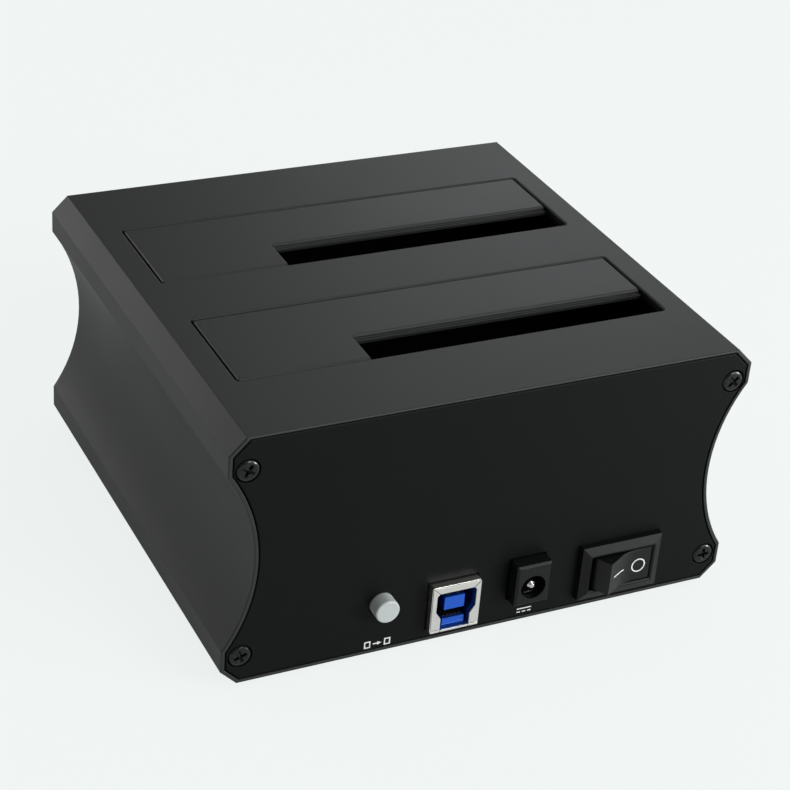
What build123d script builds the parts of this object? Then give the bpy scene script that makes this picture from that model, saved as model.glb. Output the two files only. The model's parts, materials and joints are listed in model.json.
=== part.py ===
"""Two-bay hard drive docking station with sprung, L-shaped bay flaps.

Millimetres, +Z up, the panel with the ports facing -Y. The origin is at the middle of the base.
"""

import os
from math import cos, radians, sin, sqrt, tan

from build123d import *

os.makedirs("parts", exist_ok=True)

# Case: a one-piece sleeve with waisted sides
case_width = 130.0
case_length = 122.0
case_height = 64.3
case_wall = 2.0
edge_chamfer = 4.0
waist_flat_low = 9.6
waist_flat_high = 9.4
waist_depth = 6.95
mouth_edge = 0.2
foot_height = 1.8
foot_radius = 5.0
foot_pocket = 0.5
foot_inset = (15.0, 12.0)

# End panels, let into rebates at the sleeve's mouths
panel_thickness = 2.5
lip_side = 0.9
lip_top = 0.45
panel_gap = 0.3
panel_edge = 0.25
screw_inset = 4.5
screw_low = 7.5
screw_drop = 8.2
screw_head_radius = 2.7
screw_head_height = 1.1
screw_sink = 0.2
screw_shank_radius = 1.4
screw_length = 9.0
recess_gap = 0.25
screw_gap = 0.05
screw_hole_gap = 0.2
boss_radius = 3.2
boss_length = 12.0

# Bays and their flaps
bay_side = 10.5
bay_depth = 29.3
bay_gap = 18.6
bay_corner = 1.0
bay_edge = 0.3
slot_width = 76.5
slot_depth = 11.2
flap_gap = 0.5
flap_thickness = 2.0
flap_edge = 0.4
lip_width = 0.9
lip_thickness = 0.9
hinge_drop = 3.8
hinge_back = 3.3
pin_radius = 0.75
pin_seat_gap = 0.02
pin_run_gap = 0.06
barrel_radius = 1.5
arm_inset = 16.5
arm_width = 14.0
arm_reach = 8.0
tab_width = 9.0
tab_reach = 1.5
tab_root = 1.5
tab_thickness = 1.2
under_wall_gap = 0.3
spring_wire = 0.25
spring_wire_sides = 6
spring_radius = 1.25
spring_pitch = 0.7
spring_turns = 3.25
spring_leg = 7.0

# Drive guide: the moulded cage below the bays
guide_side_gap = 0.4
guide_wall = 1.2
guide_floor = 24.0
guide_plate = 2.0
guide_set = 0.3
end_wall = 1.6
flap_rest = 2.2
lug_width = 3.0
lug_back = 2.5
rib_width = 2.8
rib_depth = 8.0
rib_height = 9.0
leg_inset = 14.5
leg_front = 33.0
leg_back = 32.0
leg_radius = 3.5
base_screw_length = 9.0

# Main board, hung from bosses under the guide
board_bottom = 18.0
board_thickness = 1.6
board_left_inset = 23.0
board_right_inset = 20.0
board_front_gap = 0.5
board_back_gap = 3.2
board_boss_radius = 3.0
board_screw_radius = 1.2
board_head_radius = 2.4
board_head_height = 1.4
board_screw_inset = 6.5
board_screw_front = 26.0
board_screw_back = 24.0

# Drive connectors
plug_side = 33.7
plug_set = 4.2
plug_length = 44.0
plug_width = 6.0
plug_top = 28.0
plug_gap = 0.3
blade_depth = 6.2
blade_gap = 2.4
blade_key = 1.3
power_length = 20.6
power_count = 15
signal_length = 10.4
signal_count = 7
blade_bridge = 2.4
contact_pitch = 1.27
contact_width = 0.6
contact_thickness = 0.3
contact_height = 5.2

# Start button
start_spacing = 17.9
start_z = 13.3
start_radius = 2.95
start_reach = 3.3
start_travel = 1.5
start_flange = 4.0
start_flange_thickness = 1.2
hole_gap = 0.3
plunger_radius = 1.6
start_body = 7.0
start_body_length = 5.0

# Host socket, hung under the board
usb_spacing = 19.25
usb_width = 12.4
usb_low = 3.5
usb_high = 16.1
usb_reach = 2.4
usb_length = 17.0
usb_sheet = 0.4
usb_wide = 9.9
usb_narrow = 7.3
usb_open_top = 14.3
usb_step_high = 9.3
usb_step_low = 7.3
usb_open_low = 4.2
usb_clip = 0.6
usb_recess = 8.5
tongue_set = 1.0
upper_pitch = 2.5
upper_count = 2
lower_pitch = 1.0
lower_count = 5
upper_tongue = (5.1, 3.4)
upper_tongue_z = 10.6
lower_tongue = (5.6, 1.8)
lower_tongue_z = 5.5
usb_leg_width = 3.0

# Power inlet, hung under the board
dc_spacing = 24.7
dc_width = 9.0
dc_low = 7.0
dc_reach = 3.75
dc_length = 14.2
dc_bore_radius = 3.2
dc_bore_z = 11.7
dc_bore_depth = 10.0
dc_pin_radius = 1.05
dc_pin_set = 0.6
dc_edge = 0.5
dc_leaf = 0.3

# Rocker switch
switch_side = 29.35
switch_z = 10.4
bezel_width = 21.8
bezel_height = 15.0
bezel_rim = 1.6
bezel_reach = 2.5
bezel_slope = 0.15
switch_width = 19.2
switch_height = 12.9
switch_gap = 0.15
switch_depth = 12.5
switch_wall = 1.4
opening_width = 16.6
opening_height = 9.4
opening_flare = 0.3
rocker_gap = 0.3
rocker_swing = 30.0
rocker_half = 8.0
rocker_face = 3.75
rocker_skirt = 3.2
rocker_hollow = 10.0
pivot_depth = 1.5
pivot_radius = 1.2
pivot_reach = 0.8
pivot_run_gap = 0.05
catch_reach = 0.8
catch_length = 3.0
terminal_width = 4.8
terminal_thickness = 0.8
terminal_length = 7.0
terminal_spread = 5.0
lead_radius = 0.8

# Far end panel: light lenses and the lights behind them
lens_radius = 1.5
lens_reach = 0.5
lens_spots = (-8.0, 0.0, 8.0)
lens_flange = 2.1
lens_flange_thickness = 0.8
light_radius = 1.4
light_length = 2.0

# Small parts on the board: x, distance from the bay middle plane, then their sizes
chip_side = 10.0
chip_height = 1.2
chip_spots = ((-20.0, 0.0), (-20.0, 25.0))
can_radius = 4.0
can_height = 9.0
can_spots = ((14.0, -24.0), (24.0, -24.0), (14.0, 10.0))
coil_side = 8.0
coil_height = 5.0
coil_spot = (0.0, -12.0)

# Places that follow from the sizes above
pressed_corner = radians(rocker_swing)
rocker_reach = rocker_half * sin(pressed_corner) + rocker_face * cos(pressed_corner) - pivot_depth
bay_width = case_width - 2 * bay_side
slot_left = bay_width / 2 - slot_width
flap_half = bay_width / 2 - flap_gap
guide_half = flap_half + guide_side_gap
arm_x = bay_width / 2 - arm_inset
tab_x = (slot_left - bay_width / 2) / 2
screw_x = case_width / 2 - screw_inset
leg_x = case_width / 2 - leg_inset
board_left = board_left_inset - case_width / 2
board_right = case_width / 2 - board_right_inset
plug_x = bay_width / 2 - plug_side
switch_x = case_width / 2 - switch_side
dc_x = switch_x - dc_spacing
usb_x = dc_x - usb_spacing
start_x = usb_x - start_spacing
case_front = (rocker_reach - lens_reach - case_length) / 2
case_back = case_front + case_length
case_middle = (case_front + case_back) / 2
case_bottom = foot_height
case_top = case_bottom + case_height
floor_top = case_bottom + case_wall
bay_offset = (bay_gap + bay_depth) / 2
bay_middles = (case_middle - bay_offset, case_middle + bay_offset)
waist_middle = (waist_flat_low + case_height - waist_flat_high) / 2
half_chord = waist_middle - waist_flat_low
waist_radius = (half_chord**2 + waist_depth**2) / (2 * waist_depth)
waist_centre = case_width / 2 - waist_depth + waist_radius
hinge_z = case_top - hinge_drop
wall_under = case_top - case_wall
guide_top = wall_under - under_wall_gap
guide_low = case_bottom + guide_floor
well_floor = guide_low + guide_plate
board_low = case_bottom + board_bottom
board_top = board_low + board_thickness
board_front = case_front + panel_thickness + board_front_gap
board_back = case_back - panel_thickness - board_back_gap
panel_screws = [
    (side * screw_x, height)
    for side in (-1, 1)
    for height in (case_bottom + screw_low, case_top - screw_drop)
]
foot_spots = [
    (sx * (case_width / 2 - foot_inset[0]), case_middle + sy * (case_length / 2 - foot_inset[1]))
    for sx in (-1, 1)
    for sy in (-1, 1)
]
leg_spots = [
    (side * leg_x, y)
    for side in (-1, 1)
    for y in (case_front + leg_front, case_back - leg_back)
]
between_plugs = case_middle - bay_depth / 2 + plug_set
board_screws_at = [
    (board_left + board_screw_inset, case_front + board_screw_front),
    (board_left + board_screw_inset, case_back - board_screw_back),
    (board_right - board_screw_inset, between_plugs),
    (board_right - board_screw_inset, case_back - board_screw_back),
]


def facing(y):
    """Upright plane at y whose normal points to the port side."""
    return Plane.XZ.offset(-y)


def across(x):
    """Upright plane at x, drawn in y and z, whose normal points to +X."""
    return Plane.YZ.offset(x)


def case_outline(inset, top_inset):
    """Edges of the case's waisted section, moved inwards by the two insets."""
    side = case_width / 2 - inset
    low = case_bottom + inset
    high = case_top - top_inset
    slant = inset * sqrt(2)
    radius = waist_radius + inset
    middle = case_bottom + waist_middle
    rise = sqrt(radius**2 - (waist_centre - side) ** 2)
    flat = case_width / 2 - edge_chamfer
    with BuildLine() as outline:
        Polyline(
            (0, low),
            (flat + inset - slant, low),
            (side, case_bottom + edge_chamfer - inset + slant),
            (side, middle - rise),
        )
        ThreePointArc(
            (side, middle - rise), (waist_centre - radius, middle), (side, middle + rise)
        )
        Polyline(
            (side, middle + rise),
            (side, case_top - edge_chamfer + inset - slant),
            (flat + top_inset - slant, high),
            (0, high),
        )
        mirror(about=Plane.YZ)
    return outline.edges()


def save(part, name):
    """Labels one finished node and writes its file."""
    part.label = name
    export_step(part, f"parts/{name}.step")


# Sleeve
with BuildPart() as shell:
    with BuildSketch(facing(case_front)):
        make_face(case_outline(0, 0))
    extrude(amount=-case_length)
    chamfer(shell.faces().filter_by(Axis.Y).edges(), length=mouth_edge)
    with BuildSketch(facing(case_front)):
        make_face(case_outline(case_wall, case_wall))
    extrude(amount=-case_length, mode=Mode.SUBTRACT)
    for y, inward in ((case_front + panel_thickness, -1), (case_back - panel_thickness, 1)):
        with BuildSketch(facing(y)):
            with Locations(*panel_screws):
                Circle(boss_radius)
        extrude(amount=inward * boss_length)
        with BuildSketch(facing(y)):
            with Locations(*panel_screws):
                Circle(screw_shank_radius + screw_gap)
        extrude(amount=inward * boss_length, mode=Mode.SUBTRACT)
        with BuildSketch(facing(y)):
            make_face(case_outline(lip_side, lip_top))
        extrude(amount=-inward * panel_thickness, mode=Mode.SUBTRACT)
    with BuildSketch(Plane.XY.offset(case_top)):
        with Locations(*[(0, y) for y in bay_middles]):
            RectangleRounded(bay_width, bay_depth, bay_corner)
    extrude(amount=-2 * case_wall, mode=Mode.SUBTRACT)
    chamfer(
        [
            edge
            for wire in shell.faces().sort_by(Axis.Z)[-1].inner_wires()
            for edge in wire.edges()
        ],
        length=bay_edge,
    )
    with BuildSketch(Plane.XY.offset(case_bottom)):
        with Locations(*leg_spots):
            Circle(screw_shank_radius + screw_hole_gap)
    extrude(amount=case_wall, mode=Mode.SUBTRACT)
    with BuildSketch(Plane.XY.offset(case_bottom)):
        with Locations(*leg_spots):
            Circle(screw_head_radius + recess_gap)
    extrude(amount=screw_head_height, mode=Mode.SUBTRACT)
    with BuildSketch(Plane.XY.offset(case_bottom)):
        with Locations(*foot_spots):
            Circle(foot_radius + recess_gap)
    extrude(amount=foot_pocket, mode=Mode.SUBTRACT)
save(shell.part, "shell")

# Panel with the ports
with BuildPart() as port_panel:
    with BuildSketch(facing(case_front)):
        make_face(case_outline(lip_side + panel_gap, lip_top + panel_gap))
    extrude(amount=-panel_thickness)
    chamfer(
        port_panel.faces().sort_by(Axis.Y)[0].outer_wire().edges(), length=panel_edge
    )
    with BuildSketch(facing(case_front)):
        with Locations(*panel_screws):
            Circle(screw_shank_radius + screw_hole_gap)
        with Locations((start_x, case_bottom + start_z)):
            Circle(start_radius + hole_gap)
        with Locations((usb_x, case_bottom + (usb_low + usb_high) / 2)):
            Rectangle(usb_width + 2 * hole_gap, usb_high - usb_low + 2 * hole_gap)
        with Locations((dc_x, case_bottom + (dc_low + board_bottom) / 2)):
            Rectangle(dc_width + 2 * hole_gap, board_bottom - dc_low + 2 * hole_gap)
        with Locations((switch_x, case_bottom + switch_z)):
            Rectangle(switch_width + 2 * switch_gap, switch_height + 2 * switch_gap)
    extrude(amount=-panel_thickness, mode=Mode.SUBTRACT)
    with BuildSketch(facing(case_front)):
        with Locations(*panel_screws):
            Circle(screw_head_radius + recess_gap)
    extrude(amount=-(screw_head_height + screw_sink), mode=Mode.SUBTRACT)
save(port_panel.part, "port_panel")

# Far end panel
lens_z = board_top + light_radius
with BuildPart() as front_panel:
    with BuildSketch(facing(case_back)):
        make_face(case_outline(lip_side + panel_gap, lip_top + panel_gap))
    extrude(amount=panel_thickness)
    chamfer(
        front_panel.faces().sort_by(Axis.Y)[-1].outer_wire().edges(), length=panel_edge
    )
    with BuildSketch(facing(case_back)):
        with Locations(*panel_screws):
            Circle(screw_shank_radius + screw_hole_gap)
        with Locations(*[(x, lens_z) for x in lens_spots]):
            Circle(lens_radius + recess_gap / 2)
    extrude(amount=panel_thickness, mode=Mode.SUBTRACT)
    with BuildSketch(facing(case_back)):
        with Locations(*panel_screws):
            Circle(screw_head_radius + recess_gap)
    extrude(amount=screw_head_height + screw_sink, mode=Mode.SUBTRACT)
save(front_panel.part, "front_panel")

# Panel screws at both ends
for name, face_y, inward in (
    ("port_panel_screws", case_front, -1),
    ("front_panel_screws", case_back, 1),
):
    head_y = face_y - inward * screw_sink
    with BuildPart() as screws:
        with BuildSketch(facing(head_y)):
            with Locations(*panel_screws):
                Circle(screw_head_radius)
        extrude(amount=inward * screw_head_height)
        ends = screws.faces().filter_by(Axis.Y).group_by(Axis.Y)[0 if inward < 0 else -1]
        chamfer(ends.edges(), length=screw_head_height / 3)
        with BuildSketch(facing(head_y - inward * screw_head_height)):
            with Locations(*panel_screws):
                Circle(screw_shank_radius)
        extrude(amount=inward * screw_length)
    save(screws.part, name)

# Screws through the sleeve's floor into the guide's legs
with BuildPart() as base_screws:
    with BuildSketch(Plane.XY.offset(case_bottom)):
        with Locations(*leg_spots):
            Circle(screw_head_radius)
    extrude(amount=screw_head_height)
    with BuildSketch(Plane.XY.offset(case_bottom + screw_head_height)):
        with Locations(*leg_spots):
            Circle(screw_shank_radius)
    extrude(amount=base_screw_length)
save(base_screws.part, "base_screws")

# Rubber feet
with BuildPart() as feet:
    with BuildSketch():
        with Locations(*foot_spots):
            Circle(foot_radius)
    extrude(amount=foot_height + foot_pocket)
    chamfer(feet.faces().group_by(Axis.Z)[0].edges(), length=foot_pocket)
save(feet.part, "feet")

# Drive guide
guide_outer = guide_half + guide_wall
guide_start = bay_middles[0] - bay_depth / 2 - guide_set - end_wall
guide_end = bay_middles[1] + bay_depth / 2 + hinge_back + lug_back
with BuildPart() as drive_guide:
    with BuildSketch(Plane.XY.offset(guide_low)):
        with Locations((0, (guide_start + guide_end) / 2)):
            Rectangle(2 * guide_outer, guide_end - guide_start)
    extrude(amount=guide_plate)
    for middle in bay_middles:
        near = middle - bay_depth / 2 - guide_set
        far = middle + bay_depth / 2
        hinge_y = far + hinge_back
        well_end = hinge_y + lug_back
        # Port-side wall, and both side walls with the lugs for the pin's ends
        with BuildSketch(Plane.XY.offset(well_floor)):
            with Locations((0, near - end_wall / 2)):
                Rectangle(2 * guide_outer, end_wall)
            for side in (-1, 1):
                with Locations((side * (guide_half + guide_wall / 2), (near + well_end) / 2)):
                    Rectangle(guide_wall, well_end - near)
        extrude(amount=guide_top - well_floor)
        # Low wall that the open flap lies against
        far_wall_top = hinge_z - arm_reach - under_wall_gap
        with BuildSketch(Plane.XY.offset(well_floor)):
            with Locations((0, far + flap_rest + end_wall / 2)):
                Rectangle(2 * guide_outer, end_wall)
        extrude(amount=far_wall_top - well_floor)
        # Window in the low wall for the open flap's catch tab
        window_top = hinge_z - bay_depth - hinge_back + 2 * flap_gap + tab_root
        with BuildSketch(facing(far + flap_rest)):
            with Locations((tab_x, (well_floor + window_top) / 2)):
                Rectangle(tab_width + 2 * flap_gap, window_top - well_floor)
        extrude(amount=-end_wall, mode=Mode.SUBTRACT)
        # Middle lug for the pin
        lug_y = far + flap_rest
        with BuildSketch(across(-lug_width / 2)):
            with Locations(((lug_y + well_end) / 2, (well_floor + hinge_z + barrel_radius) / 2)):
                Rectangle(well_end - lug_y, hinge_z + barrel_radius - well_floor)
        extrude(amount=lug_width)
        with BuildSketch(across(-guide_outer)):
            with Locations((hinge_y, hinge_z)):
                Circle(pin_radius + pin_seat_gap)
        extrude(amount=2 * guide_outer, mode=Mode.SUBTRACT)
        # Side ribs that centre a large drive over the connector
        for side in (-1, 1):
            with BuildSketch(Plane.XY.offset(well_floor)):
                with Locations((side * (guide_half - rib_width / 2), near + rib_depth / 2)):
                    Rectangle(rib_width, rib_depth)
            extrude(amount=rib_height)
        # Notch that lets the flap's catch tab swing down
        swing = bay_depth + hinge_back + tab_reach
        dip = sqrt(swing**2 - (swing - tab_reach + guide_set) ** 2)
        notch_low = hinge_z - dip - flap_gap
        with BuildSketch(facing(near - end_wall)):
            with Locations((tab_x, (notch_low + guide_top) / 2)):
                Rectangle(tab_width + 2 * flap_gap, guide_top - notch_low)
        extrude(amount=-end_wall, mode=Mode.SUBTRACT)
        # Window for the connector
        with BuildSketch(Plane.XY.offset(guide_low)):
            with Locations((plug_x, middle - bay_depth / 2 + plug_set)):
                Rectangle(plug_length + 2 * plug_gap, plug_width + 2 * plug_gap)
        extrude(amount=guide_plate, mode=Mode.SUBTRACT)
    # Legs down to the sleeve's floor, and bosses for the board
    with BuildSketch(Plane.XY.offset(floor_top)):
        with Locations(*leg_spots):
            Circle(leg_radius)
    extrude(amount=guide_low - floor_top)
    with BuildSketch(Plane.XY.offset(floor_top)):
        with Locations(*leg_spots):
            Circle(screw_shank_radius + screw_gap)
    extrude(amount=base_screw_length, mode=Mode.SUBTRACT)
    with BuildSketch(Plane.XY.offset(board_top)):
        with Locations(*board_screws_at):
            Circle(board_boss_radius)
    extrude(amount=guide_low - board_top)
    with BuildSketch(Plane.XY.offset(board_top)):
        with Locations(*board_screws_at):
            Circle(board_screw_radius + screw_gap)
    extrude(amount=guide_low - board_top, mode=Mode.SUBTRACT)
save(drive_guide.part, "drive_guide")

# Torsion spring, coiled about its own Z axis
with BuildPart() as torsion_spring:
    with BuildLine() as coil:
        Helix(pitch=spring_pitch, height=spring_pitch * spring_turns, radius=spring_radius)
    with BuildSketch(Plane(origin=coil.line @ 0, z_dir=coil.line % 0)):
        RegularPolygon(spring_wire, spring_wire_sides)
    sweep(is_frenet=True)
    with BuildSketch(Plane(origin=(spring_radius, 0, 0), z_dir=(0, -1, 0))):
        RegularPolygon(spring_wire, spring_wire_sides)
    extrude(amount=arm_reach + spring_leg / 4)
    with BuildSketch(Plane(origin=coil.line @ 1, z_dir=(-1, 0, 0))):
        RegularPolygon(spring_wire, spring_wire_sides)
    extrude(amount=spring_leg)

# Flaps, their pins and springs, one set for each bay
for bay, middle in zip(("near", "far"), bay_middles):
    left = -flap_half
    right = flap_half
    near = middle - bay_depth / 2 + flap_gap
    far = middle + bay_depth / 2 - flap_gap
    slot_far = middle - bay_depth / 2 + slot_depth
    hinge_y = middle + bay_depth / 2 + hinge_back
    flap_low = case_top - flap_thickness
    with BuildPart() as flap:
        with BuildSketch(Plane.XY.offset(case_top)) as plate:
            with BuildLine():
                Polyline(
                    (left, near),
                    (slot_left, near),
                    (slot_left, slot_far),
                    (right, slot_far),
                    (right, far),
                    (left, far),
                    close=True,
                )
            make_face()
            fillet(plate.vertices(), radius=bay_corner / 2)
        extrude(amount=-flap_thickness)
        chamfer(flap.faces().sort_by(Axis.Z)[-1].edges(), length=flap_edge)
        # Lower lip along the long edge of the slot
        with BuildSketch(Plane.XY.offset(flap_low)):
            with Locations(((slot_left + right) / 2, slot_far - lip_width / 2)):
                Rectangle(right - slot_left, lip_width)
        extrude(amount=lip_thickness)
        # Catch tab under the sleeve's top wall
        with BuildSketch(Plane.XY.offset(flap_low - under_wall_gap)):
            with Locations((tab_x, near + (tab_root - flap_gap - tab_reach) / 2)):
                Rectangle(tab_width, tab_root + flap_gap + tab_reach)
        extrude(amount=-tab_thickness)
        with BuildSketch(Plane.XY.offset(flap_low)):
            with Locations((tab_x, near + tab_root / 2)):
                Rectangle(tab_width, tab_root)
        extrude(amount=-under_wall_gap)
        # Two arms that reach under the top wall to the pin
        arm_top = hinge_z + barrel_radius
        for side in (-1, 1):
            with BuildSketch(across(side * arm_x - arm_width / 2)):
                with BuildLine():
                    Polyline(
                        (hinge_y, hinge_z - barrel_radius),
                        (hinge_y, arm_top),
                        (far, arm_top),
                        (far, flap_low),
                        (hinge_y - arm_reach, flap_low),
                        (hinge_y - arm_reach + barrel_radius, hinge_z - barrel_radius),
                        close=True,
                    )
                make_face()
                with Locations((hinge_y, hinge_z)):
                    Circle(barrel_radius)
                    Circle(pin_radius + pin_run_gap, mode=Mode.SUBTRACT)
            extrude(amount=arm_width)
    save(flap.part, f"{bay}_flap")

    with BuildPart() as pin:
        with BuildSketch(across(-guide_outer)):
            with Locations((hinge_y, hinge_z)):
                Circle(pin_radius)
        extrude(amount=2 * guide_outer)
    save(pin.part, f"{bay}_flap_pin")

    # Torsion spring beside the left arm, one leg under the flap, one behind the low wall
    coil_x = -arm_x + arm_width / 2 + 2 * spring_wire
    with BuildPart() as spring:
        with Locations(Plane(origin=(coil_x, hinge_y, hinge_z), x_dir=(0, 1, 0), z_dir=(1, 0, 0))):
            add(torsion_spring.part)
    save(spring.part, f"{bay}_flap_spring")

# Main board
with BuildPart() as main_board:
    with BuildSketch(Plane.XY.offset(board_low)):
        with Locations(((board_left + board_right) / 2, (board_front + board_back) / 2)):
            RectangleRounded(board_right - board_left, board_back - board_front, bay_corner)
        with Locations(*board_screws_at):
            Circle(board_screw_radius + screw_hole_gap, mode=Mode.SUBTRACT)
    extrude(amount=board_thickness)
save(main_board.part, "main_board")

with BuildPart() as board_screws:
    with BuildSketch(Plane.XY.offset(board_low)):
        with Locations(*board_screws_at):
            Circle(board_head_radius)
    extrude(amount=-board_head_height)
    with BuildSketch(Plane.XY.offset(board_low)):
        with Locations(*board_screws_at):
            Circle(board_screw_radius)
    extrude(amount=guide_low - board_low - under_wall_gap)
save(board_screws.part, "board_screws")

# Chips, cans and coil on the board
with BuildPart() as bridge_chips:
    with BuildSketch(Plane.XY.offset(board_top)):
        with Locations(*[(x, case_middle + y) for x, y in chip_spots]):
            Rectangle(chip_side, chip_side)
    extrude(amount=chip_height)
save(bridge_chips.part, "bridge_chips")

with BuildPart() as capacitors:
    with BuildSketch(Plane.XY.offset(board_low)):
        with Locations(*[(x, case_middle + y) for x, y in can_spots]):
            Circle(can_radius)
    extrude(amount=-can_height)
    chamfer(capacitors.faces().group_by(Axis.Z)[0].edges(), length=can_radius / 8)
save(capacitors.part, "capacitors")

with BuildPart() as power_coil:
    with BuildSketch(Plane.XY.offset(board_low)):
        with Locations((coil_spot[0], case_middle + coil_spot[1])):
            RectangleRounded(coil_side, coil_side, coil_side / 8)
    extrude(amount=-coil_height)
save(power_coil.part, "power_coil")

# Drive connectors with keyed blade slots, and their contacts
blade_span = power_length + blade_bridge + signal_length
power_x = plug_x - blade_span / 2 + power_length / 2
signal_x = plug_x + blade_span / 2 - signal_length / 2
blades = ((power_x, power_length, power_count, -1), (signal_x, signal_length, signal_count, 1))
plug_high = case_bottom + plug_top
for bay, middle in zip(("near", "far"), bay_middles):
    plug_y = middle - bay_depth / 2 + plug_set
    with BuildPart() as plug:
        with BuildSketch(Plane.XY.offset(board_top)):
            with Locations((plug_x, plug_y)):
                Rectangle(plug_length, plug_width)
        extrude(amount=plug_high - board_top)
        chamfer(plug.faces().sort_by(Axis.Z)[-1].edges(), length=screw_head_height / 2)
        with BuildSketch(Plane.XY.offset(plug_high)):
            for x, length, _, end in blades:
                with Locations((x, plug_y)):
                    Rectangle(length, blade_gap)
                with Locations((x + end * (length - blade_key) / 2, plug_y + blade_gap / 2)):
                    Rectangle(blade_key, 2 * blade_key)
        extrude(amount=-blade_depth, mode=Mode.SUBTRACT)
    save(plug.part, f"{bay}_drive_connector")

    with BuildPart() as contacts:
        with BuildSketch(Plane.XY.offset(plug_high - blade_depth)):
            for x, _, count, _ in blades:
                with Locations((x, plug_y - (blade_gap - contact_thickness) / 2)):
                    with GridLocations(contact_pitch, 0, count, 1):
                        Rectangle(contact_width, contact_thickness)
        extrude(amount=contact_height)
    save(contacts.part, f"{bay}_drive_contacts")

# Start button, its plunger and the switch it works
start_at = case_bottom + start_z
with BuildPart() as start_cap:
    with BuildSketch(facing(case_front - start_reach)):
        with Locations((start_x, start_at)):
            Circle(start_radius)
    extrude(amount=-(start_reach + panel_thickness + under_wall_gap))
    fillet(start_cap.faces().sort_by(Axis.Y)[0].edges(), radius=flap_edge)
    with BuildSketch(facing(case_front + panel_thickness + under_wall_gap)):
        with Locations((start_x, start_at)):
            Circle(start_flange)
    extrude(amount=-start_flange_thickness)
save(start_cap.part, "start_cap")

flange_back = case_front + panel_thickness + under_wall_gap + start_flange_thickness
start_body_front = flange_back + start_travel + under_wall_gap
with BuildPart() as start_plunger:
    with BuildSketch(facing(flange_back)):
        with Locations((start_x, start_at)):
            Circle(plunger_radius)
    extrude(amount=-(start_body_front - flange_back + start_travel))
save(start_plunger.part, "start_plunger")

with BuildPart() as start_switch:
    with BuildSketch(facing(start_body_front)):
        with Locations((start_x, board_low - start_body / 2)):
            Rectangle(start_body, start_body)
    extrude(amount=-start_body_length)
    with BuildSketch(facing(start_body_front)):
        with Locations((start_x, start_at)):
            Circle(plunger_radius + pin_run_gap)
    extrude(amount=-(2 * start_travel + under_wall_gap), mode=Mode.SUBTRACT)
save(start_switch.part, "start_switch")

# Host socket
usb_front = case_front - usb_reach
usb_bottom = case_bottom + usb_low
usb_top = case_bottom + usb_high
usb_middle = (usb_bottom + usb_top) / 2


# Keyed mouth of the socket, wide above and narrow below
with BuildSketch() as socket_mouth:
    with BuildLine():
        Polyline(
            (0, usb_open_low),
            (usb_narrow / 2, usb_open_low),
            (usb_narrow / 2, usb_step_low),
            (usb_wide / 2, usb_step_high),
            (usb_wide / 2, usb_open_top - usb_clip),
            (usb_wide / 2 - usb_clip, usb_open_top),
            (0, usb_open_top),
        )
        mirror(about=Plane.YZ)
    make_face()


with BuildPart() as usb_shell:
    with BuildSketch(facing(usb_front)):
        with Locations((usb_x, usb_middle)):
            RectangleRounded(usb_width, usb_top - usb_bottom, usb_sheet)
    extrude(amount=-usb_length)
    with BuildSketch(facing(usb_front + usb_sheet)):
        with Locations((usb_x, usb_middle)):
            Rectangle(usb_width - 2 * usb_sheet, usb_top - usb_bottom - 2 * usb_sheet)
    extrude(amount=-usb_length, mode=Mode.SUBTRACT)
    with BuildSketch(facing(usb_front)):
        with Locations((usb_x, case_bottom)):
            add(socket_mouth.sketch)
    extrude(amount=-usb_sheet, mode=Mode.SUBTRACT)
    for side in (-1, 1):
        with BuildSketch(Plane.XY.offset(usb_top - usb_sheet)):
            with Locations(
                (usb_x + side * (usb_width - usb_sheet) / 2, usb_front + usb_length / 2)
            ):
                Rectangle(usb_sheet, usb_leg_width)
        extrude(amount=board_low - usb_top + usb_sheet)
save(usb_shell.part, "usb_shell")

with BuildPart() as usb_insulator:
    with BuildSketch(facing(usb_front + usb_sheet)):
        with Locations((usb_x, usb_middle)):
            Rectangle(usb_width - 2 * usb_sheet, usb_top - usb_bottom - 2 * usb_sheet)
    extrude(amount=-(usb_length - usb_sheet))
    with BuildSketch(facing(usb_front + usb_sheet)):
        with Locations((usb_x, case_bottom)):
            add(socket_mouth.sketch)
    extrude(amount=-usb_recess, mode=Mode.SUBTRACT)
    with BuildSketch(facing(usb_front + tongue_set)):
        with Locations((usb_x, case_bottom + upper_tongue_z)):
            Rectangle(*upper_tongue)
        with Locations((usb_x, case_bottom + lower_tongue_z)):
            Rectangle(*lower_tongue)
    extrude(amount=-usb_recess)
    with BuildSketch(facing(usb_front + usb_length)):
        with Locations((usb_x, (usb_bottom + board_low) / 2)):
            Rectangle(usb_width - 2 * usb_sheet, board_low - usb_bottom)
    extrude(amount=-2 * usb_sheet)
save(usb_insulator.part, "usb_insulator")

with BuildPart() as usb_contacts:
    for z, thickness, side, count, pitch in (
        (upper_tongue_z, upper_tongue[1], 1, upper_count, upper_pitch),
        (upper_tongue_z, upper_tongue[1], -1, upper_count, upper_pitch),
        (lower_tongue_z, lower_tongue[1], 1, lower_count, lower_pitch),
    ):
        height = case_bottom + z + side * (thickness + contact_thickness) / 2
        with BuildSketch(facing(usb_front + 2 * tongue_set)):
            with Locations((usb_x, height)):
                with GridLocations(pitch, 0, count, 1):
                    Rectangle(contact_width, contact_thickness)
        extrude(amount=-(usb_recess - 2 * tongue_set))
save(usb_contacts.part, "usb_contacts")

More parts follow.
